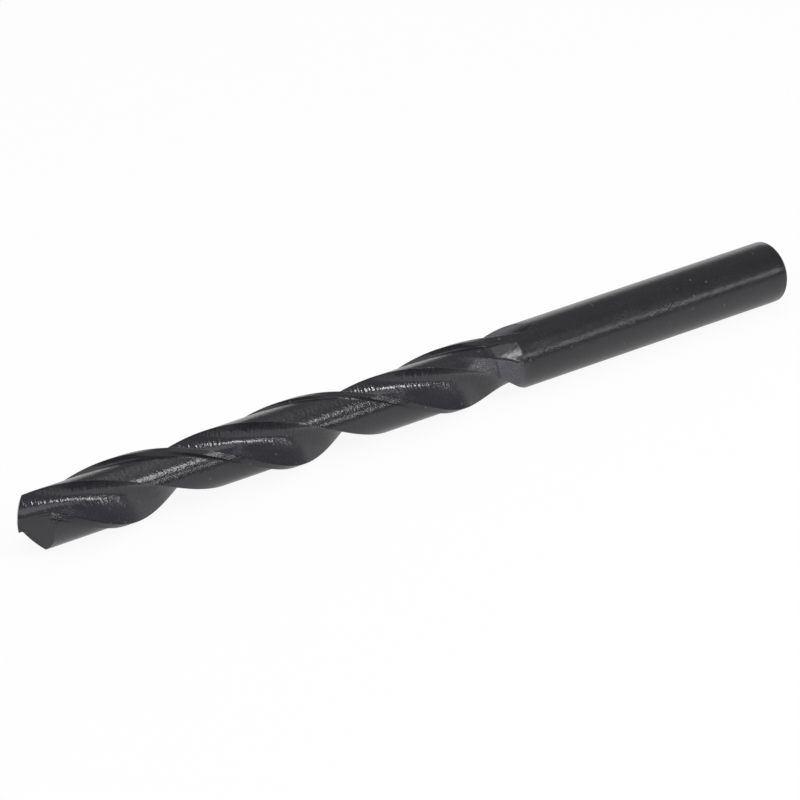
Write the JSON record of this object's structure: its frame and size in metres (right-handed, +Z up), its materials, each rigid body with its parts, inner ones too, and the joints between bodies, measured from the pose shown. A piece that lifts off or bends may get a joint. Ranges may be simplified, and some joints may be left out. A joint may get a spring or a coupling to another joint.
{
  "type": "twist drill bit",
  "caption": "Straight-shank twist drill bit in blackened steel, with right-hand helical flutes, narrow margins, a relieved point and a plain round shank.",
  "frame": {"origin": "on the surface that the drill lies on, under the middle of its length", "axes": "+X along the drill's axis from the tip to the shank end, +Z up as the drill lies on its side"},
  "size_m": [0.117, 0.008, 0.008],
  "materials": {
    "black_steel": "blackened by steam and oil, satin, with a ground texture in the flutes"
  },
  "bodies": {
    "root": {"twist_drill": "black_steel"}
  },
  "joints": []
}
